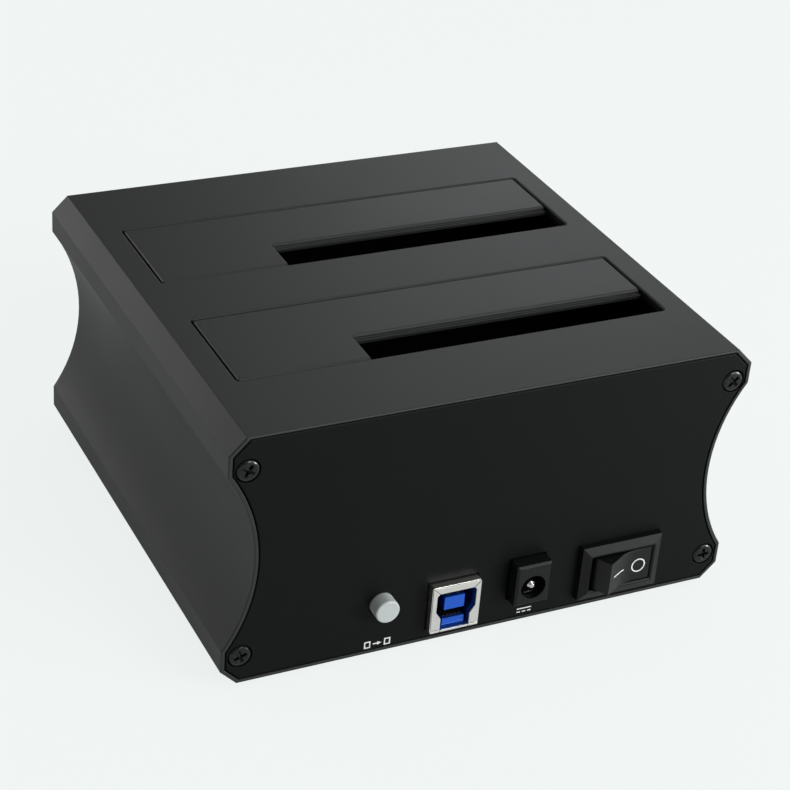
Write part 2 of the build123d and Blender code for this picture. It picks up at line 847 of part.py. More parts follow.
# Power inlet
dc_front = case_front - dc_reach
dc_back = dc_front + dc_length
dc_bottom = case_bottom + dc_low
bore_at = (dc_x, case_bottom + dc_bore_z)
with BuildPart() as dc_housing:
    with BuildSketch(facing(dc_front)):
        with Locations((dc_x, (dc_bottom + board_low) / 2)):
            Rectangle(dc_width, board_low - dc_bottom)
    extrude(amount=-dc_length)
    chamfer(dc_housing.faces().sort_by(Axis.Y)[0].edges(), length=dc_edge)
    with BuildSketch(facing(dc_front)):
        with Locations(bore_at):
            Circle(dc_bore_radius)
    extrude(amount=-dc_bore_depth, mode=Mode.SUBTRACT)
save(dc_housing.part, "dc_housing")

with BuildPart() as dc_pin:
    with BuildSketch(facing(dc_front + dc_pin_set)):
        with Locations(bore_at):
            Circle(dc_pin_radius)
    extrude(amount=-(dc_bore_depth - dc_pin_set))
    chamfer(dc_pin.faces().sort_by(Axis.Y)[0].edges(), length=dc_pin_radius / 2)
save(dc_pin.part, "dc_pin")

with BuildPart() as dc_contacts:
    with BuildSketch(facing(dc_front + dc_bore_depth)):
        with Locations((dc_x, bore_at[1] - dc_bore_radius + 2 * dc_leaf)):
            Rectangle(2 * dc_pin_radius, dc_leaf)
    extrude(amount=dc_bore_depth - 2 * dc_pin_radius)
    with BuildSketch(facing(dc_back)):
        with Locations((dc_x, (bore_at[1] + board_low) / 2)):
            Rectangle(2 * dc_pin_radius, board_low - bore_at[1])
    extrude(amount=-dc_leaf)
save(dc_contacts.part, "dc_contacts")

# Rocker switch: housing with a bezel that rises from its rim to the land round the opening
switch_at = (switch_x, case_bottom + switch_z)
pivot_y = case_front + pivot_depth
bezel_steps = (
    (0, (bezel_width, bezel_height)),
    (bezel_rim, (bezel_width - 2 * bezel_slope, bezel_height - 2 * bezel_slope)),
    (bezel_reach, (opening_width + 4 * opening_flare, opening_height + 4 * opening_flare)),
)
with BuildPart() as switch_housing:
    for two_steps in zip(bezel_steps, bezel_steps[1:]):
        for reach, sides in two_steps:
            with BuildSketch(facing(case_front - reach)):
                with Locations(switch_at):
                    Rectangle(*sides)
        loft()
    with BuildSketch(facing(case_front)):
        with Locations(switch_at):
            Rectangle(switch_width, switch_height)
    extrude(amount=-switch_depth)
    with BuildSketch(facing(case_front - bezel_reach)):
        with Locations(switch_at):
            Rectangle(opening_width, opening_height)
    extrude(amount=-(switch_depth + bezel_reach - switch_wall), mode=Mode.SUBTRACT)
    with BuildSketch(facing(case_front - bezel_reach)):
        with Locations(switch_at):
            Rectangle(opening_width + 2 * opening_flare, opening_height + 2 * opening_flare)
    with BuildSketch(facing(case_front - bezel_reach + opening_flare)):
        with Locations(switch_at):
            Rectangle(opening_width, opening_height)
    loft(mode=Mode.SUBTRACT)
    with BuildSketch(Plane.XY.offset(switch_at[1] - opening_height / 2 - pivot_reach - recess_gap)):
        with Locations((switch_x, pivot_y)):
            Circle(pivot_radius + pivot_run_gap)
    extrude(amount=opening_height + 2 * (pivot_reach + recess_gap), mode=Mode.SUBTRACT)
    # Snap catches behind the panel
    catch_start = case_front + panel_thickness + recess_gap
    for side in (-1, 1):
        root = switch_x + side * switch_width / 2
        with BuildSketch(Plane.XY.offset(switch_at[1] - opening_height / 4)):
            with BuildLine():
                Polyline(
                    (root - side * switch_gap, catch_start),
                    (root + side * catch_reach, catch_start),
                    (root - side * switch_gap, catch_start + catch_length),
                    close=True,
                )
            make_face()
        extrude(amount=opening_height / 2)
    with BuildSketch(facing(case_front + switch_depth)):
        with Locations(switch_at):
            with GridLocations(2 * terminal_spread, 0, 2, 1):
                Rectangle(terminal_thickness, terminal_width)
    extrude(amount=switch_wall, mode=Mode.SUBTRACT)
save(switch_housing.part, "switch_housing")

# Rocker, drawn from above: the pressed half, its mirror image swung out, and one hollow over both
skirt_x = sqrt(rocker_half**2 - rocker_skirt**2)
crease_x = rocker_face * tan(pressed_corner / 2)
with BuildPart() as switch_rocker:
    with BuildSketch(Plane.XY.offset(switch_at[1] - opening_height / 2 + rocker_gap)) as rocker:
        with BuildSketch(mode=Mode.PRIVATE) as half:
            with BuildLine():
                Polyline(
                    (0, rocker_skirt / 2),
                    (0, 0),
                    (crease_x, -rocker_face),
                    (rocker_half, -rocker_face),
                    (rocker_half, 0),
                )
                ThreePointArc(
                    (rocker_half, 0),
                    (
                        rocker_half * cos(pressed_corner / 3),
                        rocker_half * sin(pressed_corner / 3),
                    ),
                    (skirt_x, rocker_skirt),
                )
                Polyline(
                    (skirt_x, rocker_skirt),
                    (skirt_x - bezel_reach, rocker_skirt),
                    (skirt_x - bezel_reach, 0),
                    (2 * pivot_radius, rocker_skirt / 2),
                    (0, rocker_skirt / 2),
                )
            make_face()
        with Locations((switch_x, pivot_y)):
            add(half.sketch)
            add(half.sketch.mirror(Plane.YZ).rotate(Axis.Z, rocker_swing))
            Circle(2 * pivot_radius)
        crease = rocker.vertices().sort_by_distance((switch_x + crease_x, pivot_y - rocker_face, 0))[0]
        fillet(crease, radius=rocker_hollow)
    extrude(amount=opening_height - 2 * rocker_gap)
    with BuildSketch(Plane.XY.offset(switch_at[1] - opening_height / 2 - pivot_reach)):
        with Locations((switch_x, pivot_y)):
            Circle(pivot_radius)
    extrude(amount=opening_height + 2 * pivot_reach)
save(switch_rocker.part, "switch_rocker")

with BuildPart() as switch_terminals:
    with BuildSketch(facing(case_front + switch_depth - switch_wall - recess_gap)):
        with Locations(switch_at):
            with GridLocations(2 * terminal_spread, 0, 2, 1):
                Rectangle(terminal_thickness, terminal_width)
    extrude(amount=-(switch_wall + recess_gap + terminal_length))
save(switch_terminals.part, "switch_terminals")

# Leads from the terminals up to the board
lead_y = case_front + switch_depth + terminal_length
with BuildPart() as switch_leads:
    for side in (-1, 1):
        lead_x = switch_x + side * terminal_spread
        with BuildLine():
            Polyline(
                (lead_x, lead_y, switch_at[1]),
                (lead_x, lead_y + 3 * lead_radius, switch_at[1]),
                (lead_x, lead_y + 3 * lead_radius, board_low),
            )
        with BuildSketch(facing(lead_y)):
            with Locations((lead_x, switch_at[1])):
                Circle(lead_radius)
        sweep(transition=Transition.RIGHT)
save(switch_leads.part, "switch_leads")

# Lenses in the far end panel, and the lights on the board behind them
with BuildPart() as light_lenses:
    with BuildSketch(facing(case_back + lens_reach)):
        with Locations(*[(x, lens_z) for x in lens_spots]):
            Circle(lens_radius)
    extrude(amount=lens_reach + panel_thickness)
    chamfer(light_lenses.faces().group_by(Axis.Y)[-1].edges(), length=lens_reach / 2)
    with BuildSketch(facing(case_back - panel_thickness)):
        with Locations(*[(x, lens_z) for x in lens_spots]):
            Circle(lens_flange)
    extrude(amount=lens_flange_thickness)
save(light_lenses.part, "light_lenses")

with BuildPart() as status_lights:
    with BuildSketch(facing(board_back)):
        with Locations(*[(x, lens_z) for x in lens_spots]):
            Circle(light_radius)
    extrude(amount=light_length)
save(status_lights.part, "status_lights")
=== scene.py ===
"""Hard drive docking station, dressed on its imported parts.

Metres, +Z up, the panel with the ports facing -Y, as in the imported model.
"""

import json
from math import radians

import bmesh
import bpy
from bpy.props import FloatProperty, FloatVectorProperty, PointerProperty
from mathutils import Matrix, Vector
from mathutils.bvhtree import BVHTree


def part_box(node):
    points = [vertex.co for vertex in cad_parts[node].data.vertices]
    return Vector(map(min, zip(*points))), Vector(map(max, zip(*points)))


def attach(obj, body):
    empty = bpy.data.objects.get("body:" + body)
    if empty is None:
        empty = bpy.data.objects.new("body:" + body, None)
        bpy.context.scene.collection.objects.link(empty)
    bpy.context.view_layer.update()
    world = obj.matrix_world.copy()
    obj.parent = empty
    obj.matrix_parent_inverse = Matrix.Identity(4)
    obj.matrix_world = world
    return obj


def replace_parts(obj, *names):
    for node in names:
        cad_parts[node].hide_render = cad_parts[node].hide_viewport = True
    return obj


bl_info = {
    "name": "Drive Dock",
    "version": (1, 0, 0),
    "blender": (4, 5, 0),
    "location": "3D View > Sidebar > Drive Dock",
    "description": "Finishes, screws, socket shell, printed marks and studio for a drive dock",
    "category": "Object",
}

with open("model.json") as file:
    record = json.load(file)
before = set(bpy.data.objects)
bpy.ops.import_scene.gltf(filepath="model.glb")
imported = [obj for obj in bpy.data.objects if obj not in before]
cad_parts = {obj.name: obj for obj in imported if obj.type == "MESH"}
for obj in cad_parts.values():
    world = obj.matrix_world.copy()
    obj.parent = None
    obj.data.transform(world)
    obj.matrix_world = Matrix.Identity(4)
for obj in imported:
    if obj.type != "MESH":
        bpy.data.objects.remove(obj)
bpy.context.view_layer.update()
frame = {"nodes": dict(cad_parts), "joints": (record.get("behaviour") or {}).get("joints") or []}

MM = 0.001


# Settings
def length(name, description, millimetres):
    """A size that the user sees in the scene's own unit."""
    return FloatProperty(name=name, description=description, default=millimetres * MM, unit="LENGTH")


def colour(name, description, rgb):
    """A linear colour."""
    return FloatVectorProperty(
        name=name, description=description, default=rgb, subtype="COLOR", size=3, min=0, max=1
    )


def angle(name, description, degrees):
    """An angle kept in radians."""
    return FloatProperty(name=name, description=description, default=radians(degrees), unit="ROTATION")


class DOCK_PG_sizes(bpy.types.PropertyGroup):
    """Sizes of the pieces made here."""

    edge: length("Edge", "Radius that softens moulded edges", 0.22)
    head_radius: length("Head radius", "Radius of the panel screws' heads", 2.7)
    head_height: length("Head height", "Height of the panel screws' heads", 1.1)
    head_rise: length("Head rise", "How far a crown stands past the plain head it takes the place of", 0.5)
    shank_radius: length("Shank radius", "Radius of the panel screws' shanks", 1.4)
    recess_arm: length("Recess arm", "Width of a cross recess's arm", 0.85)
    recess_span: length("Recess span", "Width of the whole cross recess", 3.3)
    recess_depth: length("Recess depth", "Depth of the cross recess", 0.85)
    socket_sheet: length("Socket sheet", "Thickness of the host socket's folded sheet", 0.4)
    tongue_set: length("Tongue set", "How far the tongues' noses lie behind the insulator's front", 0.6)
    fold_gap: length("Fold gap", "Gap between neighbouring folded flanges", 0.08)
    ink: length("Ink", "Thickness of printed marks", 0.03)
    stroke: length("Stroke", "Width of a printed line", 0.33)
    ring: length("Ring", "Width of the rocker's ring mark", 3.8)
    dash: length("Dash", "Length of the rocker's dash mark", 3.8)


class DOCK_PG_colours(bpy.types.PropertyGroup):
    """Colours of the finishes."""

    case: colour("Case", "Satin charcoal of the sleeve and flaps", (0.015, 0.016, 0.016))
    panel: colour("Panel", "Matt black of the end panels", (0.0028, 0.0034, 0.0033))
    inside: colour("Inside", "Black moulding of the drive guide", (0.003, 0.003, 0.003))
    button: colour("Button", "Light grey of the start button", (0.55, 0.59, 0.58))
    tongue: colour("Tongue", "Blue of the host socket's insulator", (0.004, 0.088, 0.55))
    plate: colour("Plate", "Plated sheet of the host socket", (0.97, 0.985, 0.90))
    switch: colour("Switch", "Black of the switch and inlet mouldings", (0.0035, 0.004, 0.004))
    rocker: colour("Rocker", "Charcoal of the rocker", (0.004, 0.0045, 0.0045))
    ink: colour("Ink", "White of the printed marks", (0.80, 0.80, 0.80))
    mask: colour("Solder mask", "Green of the main board", (0.012, 0.095, 0.035))


class DOCK_PG_stage(bpy.types.PropertyGroup):
    """Camera and studio."""

    place: FloatVectorProperty(
        name="Camera place",
        description="Where the camera stands",
        default=(-0.209386, -0.405971, 0.299381),
        subtype="TRANSLATION",
        unit="LENGTH",
        size=3,
    )
    azimuth: angle("Azimuth", "How far the camera looks to the right of +Y", 27.628)
    elevation: angle("Elevation", "How far the camera looks down", 30.278)
    roll: angle("Roll", "Turn of the camera about its view", 4.852)
    lens: FloatProperty(name="Lens", description="Focal length on a 36 mm frame", default=97.31)
    backdrop: colour("Backdrop", "Pale colour of the floor and background", (0.95, 0.995, 0.985))
    glow: FloatProperty(name="Glow", description="Share of the floor that shows plain backdrop", default=0.85)
    sheen: FloatProperty(name="Sheen", description="Share of the glow that reflections see", default=0.25)
    daylight: FloatProperty(name="World", description="Strength of the surrounding light", default=0.18)


def sizes():
    """The sizes in use."""
    return bpy.context.scene.dock_sizes


def colours():
    """The colours in use."""
    return bpy.context.scene.dock_colours


# Materials
class Wire:
    """A value on its way between two sockets, which can be used in plain sums."""

    def __init__(self, finish, socket):
        self.finish = finish
        self.socket = socket

    def calculate(self, operation, first, second):
        """Adds one Math node."""
        return self.finish.node("Math", {"operation": operation}, {0: first, 1: second})

    def __add__(self, other):
        return self.calculate("ADD", self, other)

    def __radd__(self, other):
        return self.calculate("ADD", other, self)

    def __sub__(self, other):
        return self.calculate("SUBTRACT", self, other)

    def __rsub__(self, other):
        return self.calculate("SUBTRACT", other, self)

    def __mul__(self, other):
        return self.calculate("MULTIPLY", self, other)

    def __rmul__(self, other):
        return self.calculate("MULTIPLY", other, self)


class Finish:
    """A procedural material and the means to wire it."""

    def __init__(self, name, constants):
        self.material = bpy.data.materials.new(name)
        self.material.use_nodes = True
        self.tree = self.material.node_tree
        self.shader = self.tree.nodes["Principled BSDF"]
        for socket, value in constants.items():
            self.shader.inputs[socket].default_value = value
        self.place = self.node("TexCoord", {}, {}, "Object")

    def node(self, kind, settings, sockets, output=0):
        """Adds a node with its settings, then its values and links, and returns one output."""
        node = self.tree.nodes.new("ShaderNode" + kind)
        for name, value in settings.items():
            if name == "stops":
                self.set_stops(node.color_ramp, value)
            else:
                setattr(node, name, value)
        for name, value in sockets.items():
            if isinstance(value, Wire):
                self.tree.links.new(value.socket, node.inputs[name])
            else:
                node.inputs[name].default_value = value
        return Wire(self, node.outputs[output])

    def set_stops(self, ramp, stops):
        """Gives a ramp its stops, each a place and a grey."""
        while len(ramp.elements) < len(stops):
            ramp.elements.new(1)
        for element, (position, grey) in zip(ramp.elements, stops):
            element.position = position
            element.color = (grey, grey, grey, 1)

    def noise(self, cell, detail=2.0, stretch=(1, 1, 1)):
        """Noise whose cells are about that many metres wide, stretched along the axes."""
        scale = [1 / (cell * part) for part in stretch]
        spot = self.node("Mapping", {}, {"Vector": self.place, "Scale": scale})
        return self.node("TexNoise", {}, {"Vector": spot, "Scale": 1.0, "Detail": detail})

    def ramp(self, value, *stops):
        """A grey that follows the value through the stops."""
        return self.node("ValToRGB", {"stops": stops}, {"Fac": value})

    def mix(self, factor, first, second):
        """A colour between two."""
        return self.node("Mix", {"data_type": "RGBA"}, {0: factor, 6: first, 7: second}, 2)

    def shades(self, factor, rgb, spread):
        """The colour made darker and lighter by the spread."""
        dark = [part * (1 - spread) for part in rgb] + [1]
        light = [min(part * (1 + spread), 1) for part in rgb] + [1]
        return self.mix(factor, dark, light)

    def relief(self, height, depth, edge=0.0):
        """A normal from a height in metres, on edges that are softened where a radius is given."""
        sockets = {"Height": height, "Distance": depth, "Strength": 1.0}
        if edge:
            sockets["Normal"] = self.node("Bevel", {"samples": 6}, {"Radius": edge})
        return self.node("Bump", {}, sockets)

    def wear(self, **inputs):
        """Links what varies over the surface to the shader."""
        for name, wire in inputs.items():
            socket = self.shader.inputs[name.replace("_", " ").title()]
            self.tree.links.new(wire.socket, socket)
        return self.material


def moulded(name, rgb, rough, specular=0.5, grain=0.12 * MM, depth=0.004 * MM, edge=None):
    """Moulded or coated surface with faint clouding and a fine grain."""
    finish = Finish(name, {"Specular IOR Level": specular})
    cloud = finish.noise(22 * MM, 3)
    pores = finish.noise(grain, 1)
    cloudy = 0.06
    gritty = 0.05
    return finish.wear(
        base_color=finish.shades(cloud, rgb, 0.07),
        roughness=cloud * cloudy + pores * gritty + (rough - (cloudy + gritty) / 2),
        normal=finish.relief(pores, depth, sizes().edge if edge is None else edge),
    )


def metal(name, rgb, rough, stretch=(1, 1, 1), cell=0.25 * MM, depth=0.003 * MM, edge=0.06 * MM):
    """Bare or plated metal with drawn lines along its stretch."""
    finish = Finish(name, {"Metallic": 1.0})
    lines = finish.noise(cell, 2, stretch)
    cloud = finish.noise(4 * MM, 2)
    brushed = 0.12
    cloudy = 0.06
    return finish.wear(
        base_color=finish.shades(cloud, rgb, 0.08),
        roughness=lines * brushed + cloud * cloudy + (rough - (brushed + cloudy) / 2),
        normal=finish.relief(lines, depth, edge),
    )


def black_screw():
    """Glossy black oxide, rubbed a little paler in patches."""
    finish = Finish("black_screw", {"Metallic": 0.0, "Specular IOR Level": 0.4})
    rub = finish.ramp(finish.noise(0.5 * MM, 3), (0.50, 0), (0.75, 1))
    return finish.wear(
        base_color=finish.mix(rub, (0.003, 0.0036, 0.0034, 1), (0.014, 0.016, 0.0155, 1)),
        roughness=rub * 0.12 + 0.20,
        normal=finish.relief(finish.noise(0.2 * MM, 2), 0.004 * MM, 0.05 * MM),
    )


def rubber():
    """Matt rubber with a dusty bloom."""
    finish = Finish("rubber", {"Specular IOR Level": 0.3})
    bloom = finish.noise(1.5 * MM, 4)
    return finish.wear(
        base_color=finish.mix(bloom, (0.014, 0.014, 0.014, 1), (0.030, 0.030, 0.029, 1)),
        roughness=bloom * 0.15 + 0.72,
        normal=finish.relief(finish.noise(0.15 * MM, 2), 0.012 * MM, 0.2 * MM),
    )


def button_plastic():
    """Light grey, faintly translucent plastic with slight clouding."""
    finish = Finish("button", {"Subsurface Weight": 0.15, "Subsurface Scale": 0.8 * MM})
    touch = finish.noise(2.5 * MM, 2)
    return finish.wear(
        base_color=finish.shades(touch, colours().button, 0.03),
        roughness=touch * 0.08 + 0.38,
        normal=finish.relief(finish.noise(0.2 * MM, 1), 0.002 * MM, 0.3 * MM),
    )


def solder_mask():
    """Solder mask over copper tracks, which show as paler, raised bands."""
    finish = Finish("board", {"Coat Weight": 0.25})
    tracks_per_metre = 260.0
    over_copper = 1.9
    tracks = finish.node(
        "TexBrick",
        {"offset": 0.37, "squash": 1.0},
        {"Vector": finish.place, "Scale": tracks_per_metre, "Mortar Size": 0.035, "Mortar Smooth": 0.2},
        "Fac",
    )
    rgb = colours().mask
    return finish.wear(
        base_color=finish.mix(tracks, [*rgb, 1], [part * over_copper for part in rgb] + [1]),
        roughness=finish.noise(3 * MM, 2) * 0.1 + 0.28,
        normal=finish.relief(tracks, 0.03 * MM),
    )


def resin(name, rgb, rough):
    """Clear or milky resin with faint flow lines."""
    finish = Finish(name, {"Transmission Weight": 0.35, "IOR": 1.5})
    flow = finish.noise(0.8 * MM, 2)
    return finish.wear(
        base_color=finish.shades(flow, rgb, 0.05),
        roughness=flow * 0.06 + rough,
        normal=finish.relief(flow, 0.004 * MM, 0.1 * MM),
    )


def tongue_blue_painted_shade():
    """Blue moulding with painted shade: bright on the tongues' noses, and painted dark in front of them and
    where it lies deep in the socket.
    """
    finish = Finish("tongue", {"Specular IOR Level": 0.45})
    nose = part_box("usb_insulator")[0].y + sizes().tongue_set
    reach = 4 * MM
    depth = finish.node("SeparateXYZ", {}, {0: finish.place}, 1) - (nose - reach / 2)
    # Painted shade: a ramp along the depth, full blue near the noses and dark in front of them and deeper in.
    light = finish.ramp(depth * (1 / reach), (0.44, 0.10), (0.48, 1), (0.54, 1), (0.60, 0.22), (1.0, 0.12))
    flow = finish.noise(0.6 * MM, 2)
    rgb = colours().tongue
    return finish.wear(
        # The dark blue is the colour of the painted shade.
        base_color=finish.mix(light, (0, 0.003, 0.03, 1), [*rgb, 1]),
        roughness=flow * 0.06 + 0.28,
        normal=finish.relief(flow, 0.002 * MM, 0.08 * MM),
    )


def printed_ink():
    """White pad print, thin in places."""
    finish = Finish("ink", {"Specular IOR Level": 0.3})
    thin = finish.noise(0.35 * MM, 3)
    return finish.wear(
        base_color=finish.shades(thin, colours().ink, 0.10),
        roughness=thin * 0.1 + 0.5,
        normal=finish.relief(thin, 0.003 * MM),
    )


def dress(material, *nodes):
    """Gives CAD nodes a finish."""
    for name in nodes:
        mesh = frame["nodes"][name].data
        mesh.materials.clear()
        mesh.materials.append(material)


# Mesh helpers
def thicken(mesh, faces, depth):
    """Extrudes flat faces along +Z and returns the faces that moved."""
    edges = {edge for face in faces for edge in face.edges}
    grown = bmesh.ops.extrude_face_region(mesh, geom=[*faces, *edges])["geom"]
    moved = [item for item in grown if isinstance(item, bmesh.types.BMVert)]
    bmesh.ops.translate(mesh, verts=moved, vec=(0, 0, depth))
    return [item for item in grown if isinstance(item, bmesh.types.BMFace)]


def draw_in(mesh, faces, width, rise=0.0):
    """Insets a region of faces, raised by the rise, and returns the new rim."""
    mesh.normal_update()
    return bmesh.ops.inset_region(
        mesh, faces=faces, thickness=width, depth=rise, use_even_offset=True, use_boundary=True
    )["faces"]


def outline_face(mesh, corners):
    """A flat face through a few corners in x and y, which looks along +Z."""
    face = mesh.faces.new([mesh.verts.new((x, y, 0)) for x, y in corners])
    face.normal_update()
    if face.normal.z < 0:
        face.normal_flip()
    return face


def plate(mesh, corners, depth, gap=0.0):
    """A flat plate through a few corners, drawn in by the gap all round."""
    face = outline_face(mesh, corners)
    if gap:
        bmesh.ops.delete(mesh, geom=draw_in(mesh, [face], gap), context="FACES")
    thicken(mesh, [face], depth)


def ring_of(mesh, faces, width, depth):
    """Turns a flat face into a ring of that width, with its thickness along +Z."""
    rim = draw_in(mesh, faces, width)
    bmesh.ops.delete(mesh, geom=faces, context="FACES_ONLY")
    thicken(mesh, rim, depth)


def move(mesh, matrix):
    """Moves everything in the mesh."""
    bmesh.ops.transform(mesh, matrix=matrix, verts=mesh.verts)


def join(whole, part):
    """Adds one mesh to another and frees it."""
    data = bpy.data.meshes.new("part")
    part.to_mesh(data)
    whole.from_mesh(data)
    bpy.data.meshes.remove(data)
    part.free()


def facing_port(place):
    """Matrix that stands a shape drawn in x and y upright at a place, with its +Z towards the port side."""
    return Matrix.Translation(place) @ Matrix.Rotation(radians(90), 4, "X")


def make_piece(name, mesh, material, body):
    """Makes a finished object of the mesh and lets it ride on its body."""
    bmesh.ops.remove_doubles(mesh, verts=mesh.verts, dist=1e-7)
    bmesh.ops.recalc_face_normals(mesh, faces=mesh.faces)
    data = bpy.data.meshes.new(name)
    mesh.to_mesh(data)
    mesh.free()
    data.materials.append(material)
    piece = bpy.data.objects.new(name, data)
    bpy.context.scene.collection.objects.link(piece)
    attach(piece, body)
    return piece


def lay_on(mesh, node):
    """Lays flat marks on a CAD node's face, straight in from the port side."""
    solid = frame["nodes"][node]
    face = BVHTree.FromPolygons(
        [solid.matrix_world @ vert.co for vert in solid.data.vertices],
        [polygon.vertices for polygon in solid.data.polygons],
    )
    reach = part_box(node)[0].y
    for vert in mesh.verts:
        start = Vector((vert.co.x, reach - MM, vert.co.z))
        spot = face.ray_cast(start, Vector((0, 1, 0)))[0]
        if spot is None:
            raise RuntimeError(f"A mark runs off {node}")
        vert.co.y += spot.y


def middle(node):
    """Middle of a CAD node's box."""
    low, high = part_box(node)
    return (low + high) / 2


def bar_outline(left, right, low, high):
    """The four corners of an upright rectangle."""
    return ((left, low), (right, low), (right, high), (left, high))


# Printed marks
def ink():
    """The printed marks' shared finish."""
    return bpy.data.materials.get("ink") or printed_ink()


def print_mark(mesh, name, x, z):
    """Prints flat marks on the port panel."""
    low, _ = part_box("port_panel")
    move(mesh, facing_port(Vector((x, low.y, z))))
    make_piece(name, mesh, ink(), "base")


# Screws
def screw_head(mesh):
    """A domed head on +Z with its underside at z = 0 and a flat crown."""
    size = sizes()
    height = size.head_height + size.head_rise
    bmesh.ops.create_circle(mesh, cap_ends=True, segments=48, radius=size.head_radius)
    rim_share = 0.55
    dome_shares = ((0.03, 0.18), (0.06, 0.13), (0.10, 0.09), (0.13, 0.05))
    crown = thicken(mesh, mesh.faces[:], height * rim_share)
    for inward, upward in dome_shares:
        draw_in(mesh, crown, size.head_radius * inward, height * upward)


def cut_cross(mesh):
    """Sinks a tapered cross into the crown of the head."""
    size = sizes()
    arm = size.recess_arm / 2
    span = size.recess_span / 2
    taper = 0.5
    flat = 0.001 * MM

    def crown():
        """Flat faces at the top of the head."""
        top = max(vert.co.z for vert in mesh.verts)
        return [face for face in mesh.faces if face.calc_center_median().z > top - flat]

    for offset in (-span, -arm, arm, span):
        for axis in (Vector((1, 0, 0)), Vector((0, 1, 0))):
            faces = crown()
            edges = {edge for face in faces for edge in face.edges}
            verts = {vert for face in faces for vert in face.verts}
            bmesh.ops.bisect_plane(
                mesh, geom=[*faces, *edges, *verts], dist=1e-8, plane_co=axis * offset, plane_no=axis
            )
    cross = []
    for face in crown():
        spot = face.calc_center_median()
        if min(abs(spot.x), abs(spot.y)) < arm and max(abs(spot.x), abs(spot.y)) < span:
            cross.append(face)
    floor = {vert for face in thicken(mesh, cross, -size.recess_depth) for vert in face.verts}
    bmesh.ops.scale(mesh, verts=list(floor), vec=(taper, taper, 1))


def screw_set(name, node, axis, outward, first_turn, material):
    """Puts detailed screws in place of a node's four, which lie along one axis at its box's corners."""
    size = sizes()
    low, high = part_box(node)
    seat = (high[axis] if outward > 0 else low[axis]) - outward * size.head_height
    shank = high[axis] - low[axis] - size.head_height
    one, other = [number for number in range(3) if number != axis]
    direction = Vector((0, 0, 0))
    direction[axis] = outward
    upright = direction.to_track_quat("Z", "Y").to_matrix().to_4x4()
    whole = bmesh.new()
    point_share = 0.7
    turn = radians(first_turn)
    turn_step = radians(37)
    for across in (low[one] + size.head_radius, high[one] - size.head_radius):
        for up in (low[other] + size.head_radius, high[other] - size.head_radius):
            spot = Vector((0, 0, 0))
            spot[axis], spot[one], spot[other] = seat, across, up
            screw = bmesh.new()
            screw_head(screw)
            cut_cross(screw)
            stem = bmesh.ops.create_cone(
                screw,
                cap_ends=True,
                segments=24,
                radius1=size.shank_radius * point_share,
                radius2=size.shank_radius,
                depth=shank,
            )["verts"]
            bmesh.ops.translate(screw, verts=stem, vec=(0, 0, -shank / 2))
            move(screw, Matrix.Translation(spot) @ upright @ Matrix.Rotation(turn, 4, "Z"))
            turn += turn_step
            join(whole, screw)
    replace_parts(make_piece(name, whole, material, "base"), node)


# Host socket
def socket_tube(mesh, half, height, depth):
    """The folded tube behind the flanges, drawn in x and y and reaching down to z = -depth."""
    sheet = sizes().socket_sheet
    face = outline_face(mesh, ((-half, 0), (half, 0), (half, height), (-half, height)))
    bmesh.ops.bevel(
        mesh,
        geom=face.verts[:],
        offset=sheet,
        segments=4,
        profile=0.5,
        affect="VERTICES",
        material=-1,
    )
    ring_of(mesh, mesh.faces[:], sheet, depth - sheet)
    bmesh.ops.translate(mesh, verts=mesh.verts, vec=(0, 0, -depth))


def socket_flanges(mesh, half, height):
    """The folded front: mitred flanges above and beside the keyed mouth, and a split one below it."""
    size = sizes()
    sheet = size.socket_sheet
    wide = 4.95 * MM
    narrow = 3.65 * MM
    clip = 0.6 * MM
    mouth_low = 0.7 * MM
    step_low = 3.8 * MM
    step_high = 5.8 * MM
    mouth_high = 10.8 * MM
    top = ((-half, height), (clip - wide, mouth_high), (wide - clip, mouth_high), (half, height))
    side = (
        (half, height),
        (wide - clip, mouth_high),
        (wide, mouth_high - clip),
        (wide, step_high),
        (narrow, step_low),
        (narrow, mouth_low),
        (half, mouth_low),
    )
    foot = ((narrow, 0), (narrow, mouth_low), (half, mouth_low), (half, 0))
    sill = ((-narrow, 0), (-narrow, mouth_low), (narrow, mouth_low), (narrow, 0))
    plates = [top, sill]
    for hand in (-1, 1):
        plates += [[(hand * x, y) for x, y in outline] for outline in (side, foot)]
    for outline in plates:
        flange = bmesh.new()
        plate(flange, outline, sheet, size.fold_gap)
        bmesh.ops.bevel(
            flange,
            geom=flange.edges[:],
            offset=sheet / 6,
            segments=2,
            profile=0.5,
            affect="EDGES",
            material=-1,
        )
        bmesh.ops.translate(flange, verts=flange.verts, vec=(0, 0, -sheet))
        join(mesh, flange)


def socket_legs(mesh, half, height, rise, depth):
    """Two legs that stand up from the tube's sides, halfway along it, and into the main board."""
    sheet = sizes().socket_sheet
    width = 3.0 * MM
    for hand in (-1, 1):
        leg = bmesh.new()
        bmesh.ops.create_cube(leg, size=1)
        bmesh.ops.scale(leg, verts=leg.verts, vec=(sheet, rise + sheet, width))
        spot = (hand * (half - sheet / 2), height + (rise - sheet) / 2, -depth / 2)
        bmesh.ops.translate(leg, verts=leg.verts, vec=spot)
        bmesh.ops.bevel(
            leg,
            geom=leg.edges[:],
            offset=sheet / 5,
            segments=2,
            profile=0.5,
            affect="EDGES",
            material=-1,
        )
        join(mesh, leg)


# Operators
class DOCK_OT_case(bpy.types.Operator):
    """Finishes the sleeve, the end panels and the feet"""

    bl_idname = "dock.case"
    bl_label = "Case and panels"

    def execute(self, context):
        hues = colours()
        dress(moulded("case", hues.case, 0.46, 0.5), "shell")
        dress(moulded("panel", hues.panel, 0.46, 0.13), "port_panel", "front_panel")
        dress(rubber(), "feet")
        return {"FINISHED"}


